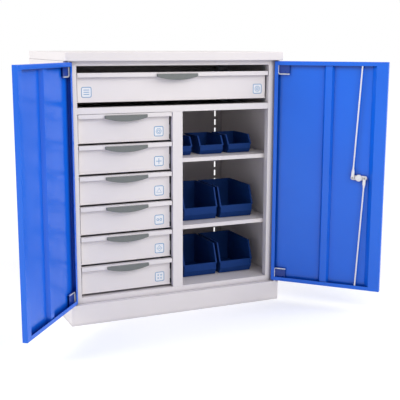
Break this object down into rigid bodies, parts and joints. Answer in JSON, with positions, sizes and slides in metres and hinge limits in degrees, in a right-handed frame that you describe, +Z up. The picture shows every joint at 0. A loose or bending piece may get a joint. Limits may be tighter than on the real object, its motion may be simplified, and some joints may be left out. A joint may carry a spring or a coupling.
{
  "type": "tool cabinet",
  "caption": "Free-standing steel tool cabinet with a wide top drawer, a stack of narrow drawers, a shelf bay with storage bins, and two swinging pan doors with a rod lock.",
  "frame": {"origin": "on the floor at mid width, in the plane of the front rails and stiles", "axes": "+Z up, +Y from front to back, +X to the right as seen from the front"},
  "size_m": [1.4545, 0.9295, 1.04],
  "materials": {
    "body_paint": "satin light grey",
    "door_paint": "satin blue",
    "handle_plastic": "grey, fine grain",
    "zinc_steel": "zinc plated",
    "lock_white": "satin off-white",
    "bin_plastic": "moulded dark blue"
  },
  "bodies": {
    "cabinet": {"worktop": "body_paint", "plinth": "body_paint", "left_side_panel": "body_paint", "right_side_panel": "body_paint", "back_panel": "body_paint", "floor_panel": "body_paint", "top_rail": "body_paint", "middle_rail": "body_paint", "compartment_deck": "body_paint", "divider_panel": "body_paint", "upper_shelf": "body_paint", "lower_shelf": "body_paint", "upper_shelf_supports": "body_paint", "lower_shelf_supports": "body_paint", "runner_posts": "zinc_steel", "wide_drawer_rails": "zinc_steel", "narrow_drawer_rails": "zinc_steel", "hinge_washers": "zinc_steel"},
    "left_door": {"left_door_panel": "door_paint", "left_door_rib": "door_paint", "left_door_pin_plates": "door_paint", "left_door_hinge_pins": "zinc_steel"},
    "right_door": {"right_door_panel": "door_paint", "right_door_rib": "door_paint", "right_door_pin_plates": "door_paint", "right_door_hinge_pins": "zinc_steel", "lock_housing": "zinc_steel"},
    "lock": {"lock_cam": "lock_white", "lock_handle": "handle_plastic"},
    "upper_rod": {"upper_lock_rod": "lock_white"},
    "lower_rod": {"lower_lock_rod": "lock_white"},
    "wide_drawer": {"wide_drawer_box": "body_paint", "wide_drawer_runners": "zinc_steel", "wide_drawer_handle": "handle_plastic"},
    "narrow_drawer_1": {"narrow_drawer_1_box": "body_paint", "narrow_drawer_1_runners": "zinc_steel", "narrow_drawer_1_handle": "handle_plastic"},
    "narrow_drawer_2": {"narrow_drawer_2_box": "body_paint", "narrow_drawer_2_runners": "zinc_steel", "narrow_drawer_2_handle": "handle_plastic"},
    "narrow_drawer_3": {"narrow_drawer_3_box": "body_paint", "narrow_drawer_3_runners": "zinc_steel", "narrow_drawer_3_handle": "handle_plastic"},
    "narrow_drawer_4": {"narrow_drawer_4_box": "body_paint", "narrow_drawer_4_runners": "zinc_steel", "narrow_drawer_4_handle": "handle_plastic"},
    "narrow_drawer_5": {"narrow_drawer_5_box": "body_paint", "narrow_drawer_5_runners": "zinc_steel", "narrow_drawer_5_handle": "handle_plastic"},
    "narrow_drawer_6": {"narrow_drawer_6_box": "body_paint", "narrow_drawer_6_runners": "zinc_steel", "narrow_drawer_6_handle": "handle_plastic"},
    "small_bin_1_body": {"small_bin_1": "bin_plastic"},
    "small_bin_2_body": {"small_bin_2": "bin_plastic"},
    "small_bin_3_body": {"small_bin_3": "bin_plastic"},
    "medium_bin_1_body": {"medium_bin_1": "bin_plastic"},
    "medium_bin_2_body": {"medium_bin_2": "bin_plastic"},
    "medium_bin_3_body": {"medium_bin_3": "bin_plastic"},
    "medium_bin_4_body": {"medium_bin_4": "bin_plastic"}
  },
  "joints": [
    {"name": "left_door_swing", "type": "hinge", "parent": "cabinet", "child": "left_door", "pos_m": [-0.4354, -0.019, 0.54], "axis": [0, 0, -1], "range_deg": [-128, 52]},
    {"name": "right_door_swing", "type": "hinge", "parent": "cabinet", "child": "right_door", "pos_m": [0.4354, -0.019, 0.54], "axis": [0, 0, 1], "range_deg": [-133.5, 46.5]},
    {"name": "lock_turn", "type": "hinge", "parent": "right_door", "child": "lock", "pos_m": [0.67192, -0.26824, 0.545], "axis": [0.7254, 0.6884, 0], "range_deg": [0, 90]},
    {"name": "upper_rod_pivot", "type": "hinge", "parent": "lock", "child": "upper_rod", "pos_m": [0.6554, -0.25083, 0.545], "axis": [0.7254, 0.6884, 0], "range_deg": [-93.5, 0.5]},
    {"name": "lower_rod_pivot", "type": "hinge", "parent": "lock", "child": "lower_rod", "pos_m": [0.68844, -0.28565, 0.545], "axis": [0.7254, 0.6884, 0], "range_deg": [-93.5, 0.5]},
    {"name": "wide_drawer_slide", "type": "slide", "parent": "cabinet", "child": "wide_drawer", "axis": [0, -1, 0], "range_m": [0, 0.38]},
    {"name": "narrow_drawer_1_slide", "type": "slide", "parent": "cabinet", "child": "narrow_drawer_1", "axis": [0, -1, 0], "range_m": [0, 0.38]},
    {"name": "narrow_drawer_2_slide", "type": "slide", "parent": "cabinet", "child": "narrow_drawer_2", "axis": [0, -1, 0], "range_m": [0, 0.38]},
    {"name": "narrow_drawer_3_slide", "type": "slide", "parent": "cabinet", "child": "narrow_drawer_3", "axis": [0, -1, 0], "range_m": [0, 0.38]},
    {"name": "narrow_drawer_4_slide", "type": "slide", "parent": "cabinet", "child": "narrow_drawer_4", "axis": [0, -1, 0], "range_m": [0, 0.38]},
    {"name": "narrow_drawer_5_slide", "type": "slide", "parent": "cabinet", "child": "narrow_drawer_5", "axis": [0, -1, 0], "range_m": [0, 0.38]},
    {"name": "narrow_drawer_6_slide", "type": "slide", "parent": "cabinet", "child": "narrow_drawer_6", "axis": [0, -1, 0], "range_m": [0, 0.38]},
    {"name": "small_bin_1_slide", "type": "slide", "parent": "cabinet", "child": "small_bin_1_body", "axis": [0, -1, 0], "range_m": [0, 0.07]},
    {"name": "small_bin_2_slide", "type": "slide", "parent": "cabinet", "child": "small_bin_2_body", "axis": [0, -1, 0], "range_m": [0, 0.3]},
    {"name": "small_bin_3_slide", "type": "slide", "parent": "cabinet", "child": "small_bin_3_body", "axis": [0, -1, 0], "range_m": [0, 0.3]},
    {"name": "medium_bin_1_slide", "type": "slide", "parent": "cabinet", "child": "medium_bin_1_body", "axis": [0, -1, 0], "range_m": [0, 0.3]},
    {"name": "medium_bin_2_slide", "type": "slide", "parent": "cabinet", "child": "medium_bin_2_body", "axis": [0, -1, 0], "range_m": [0, 0.3]},
    {"name": "medium_bin_3_slide", "type": "slide", "parent": "cabinet", "child": "medium_bin_3_body", "axis": [0, -1, 0], "range_m": [0, 0.3]},
    {"name": "medium_bin_4_slide", "type": "slide", "parent": "cabinet", "child": "medium_bin_4_body", "axis": [0, -1, 0], "range_m": [0, 0.3]}
  ],
  "couplings": [
    {"joint": "upper_rod_pivot", "follows": "lock_turn", "ratio": -1.0334},
    {"joint": "lower_rod_pivot", "follows": "lock_turn", "ratio": -1.0333}
  ]
}
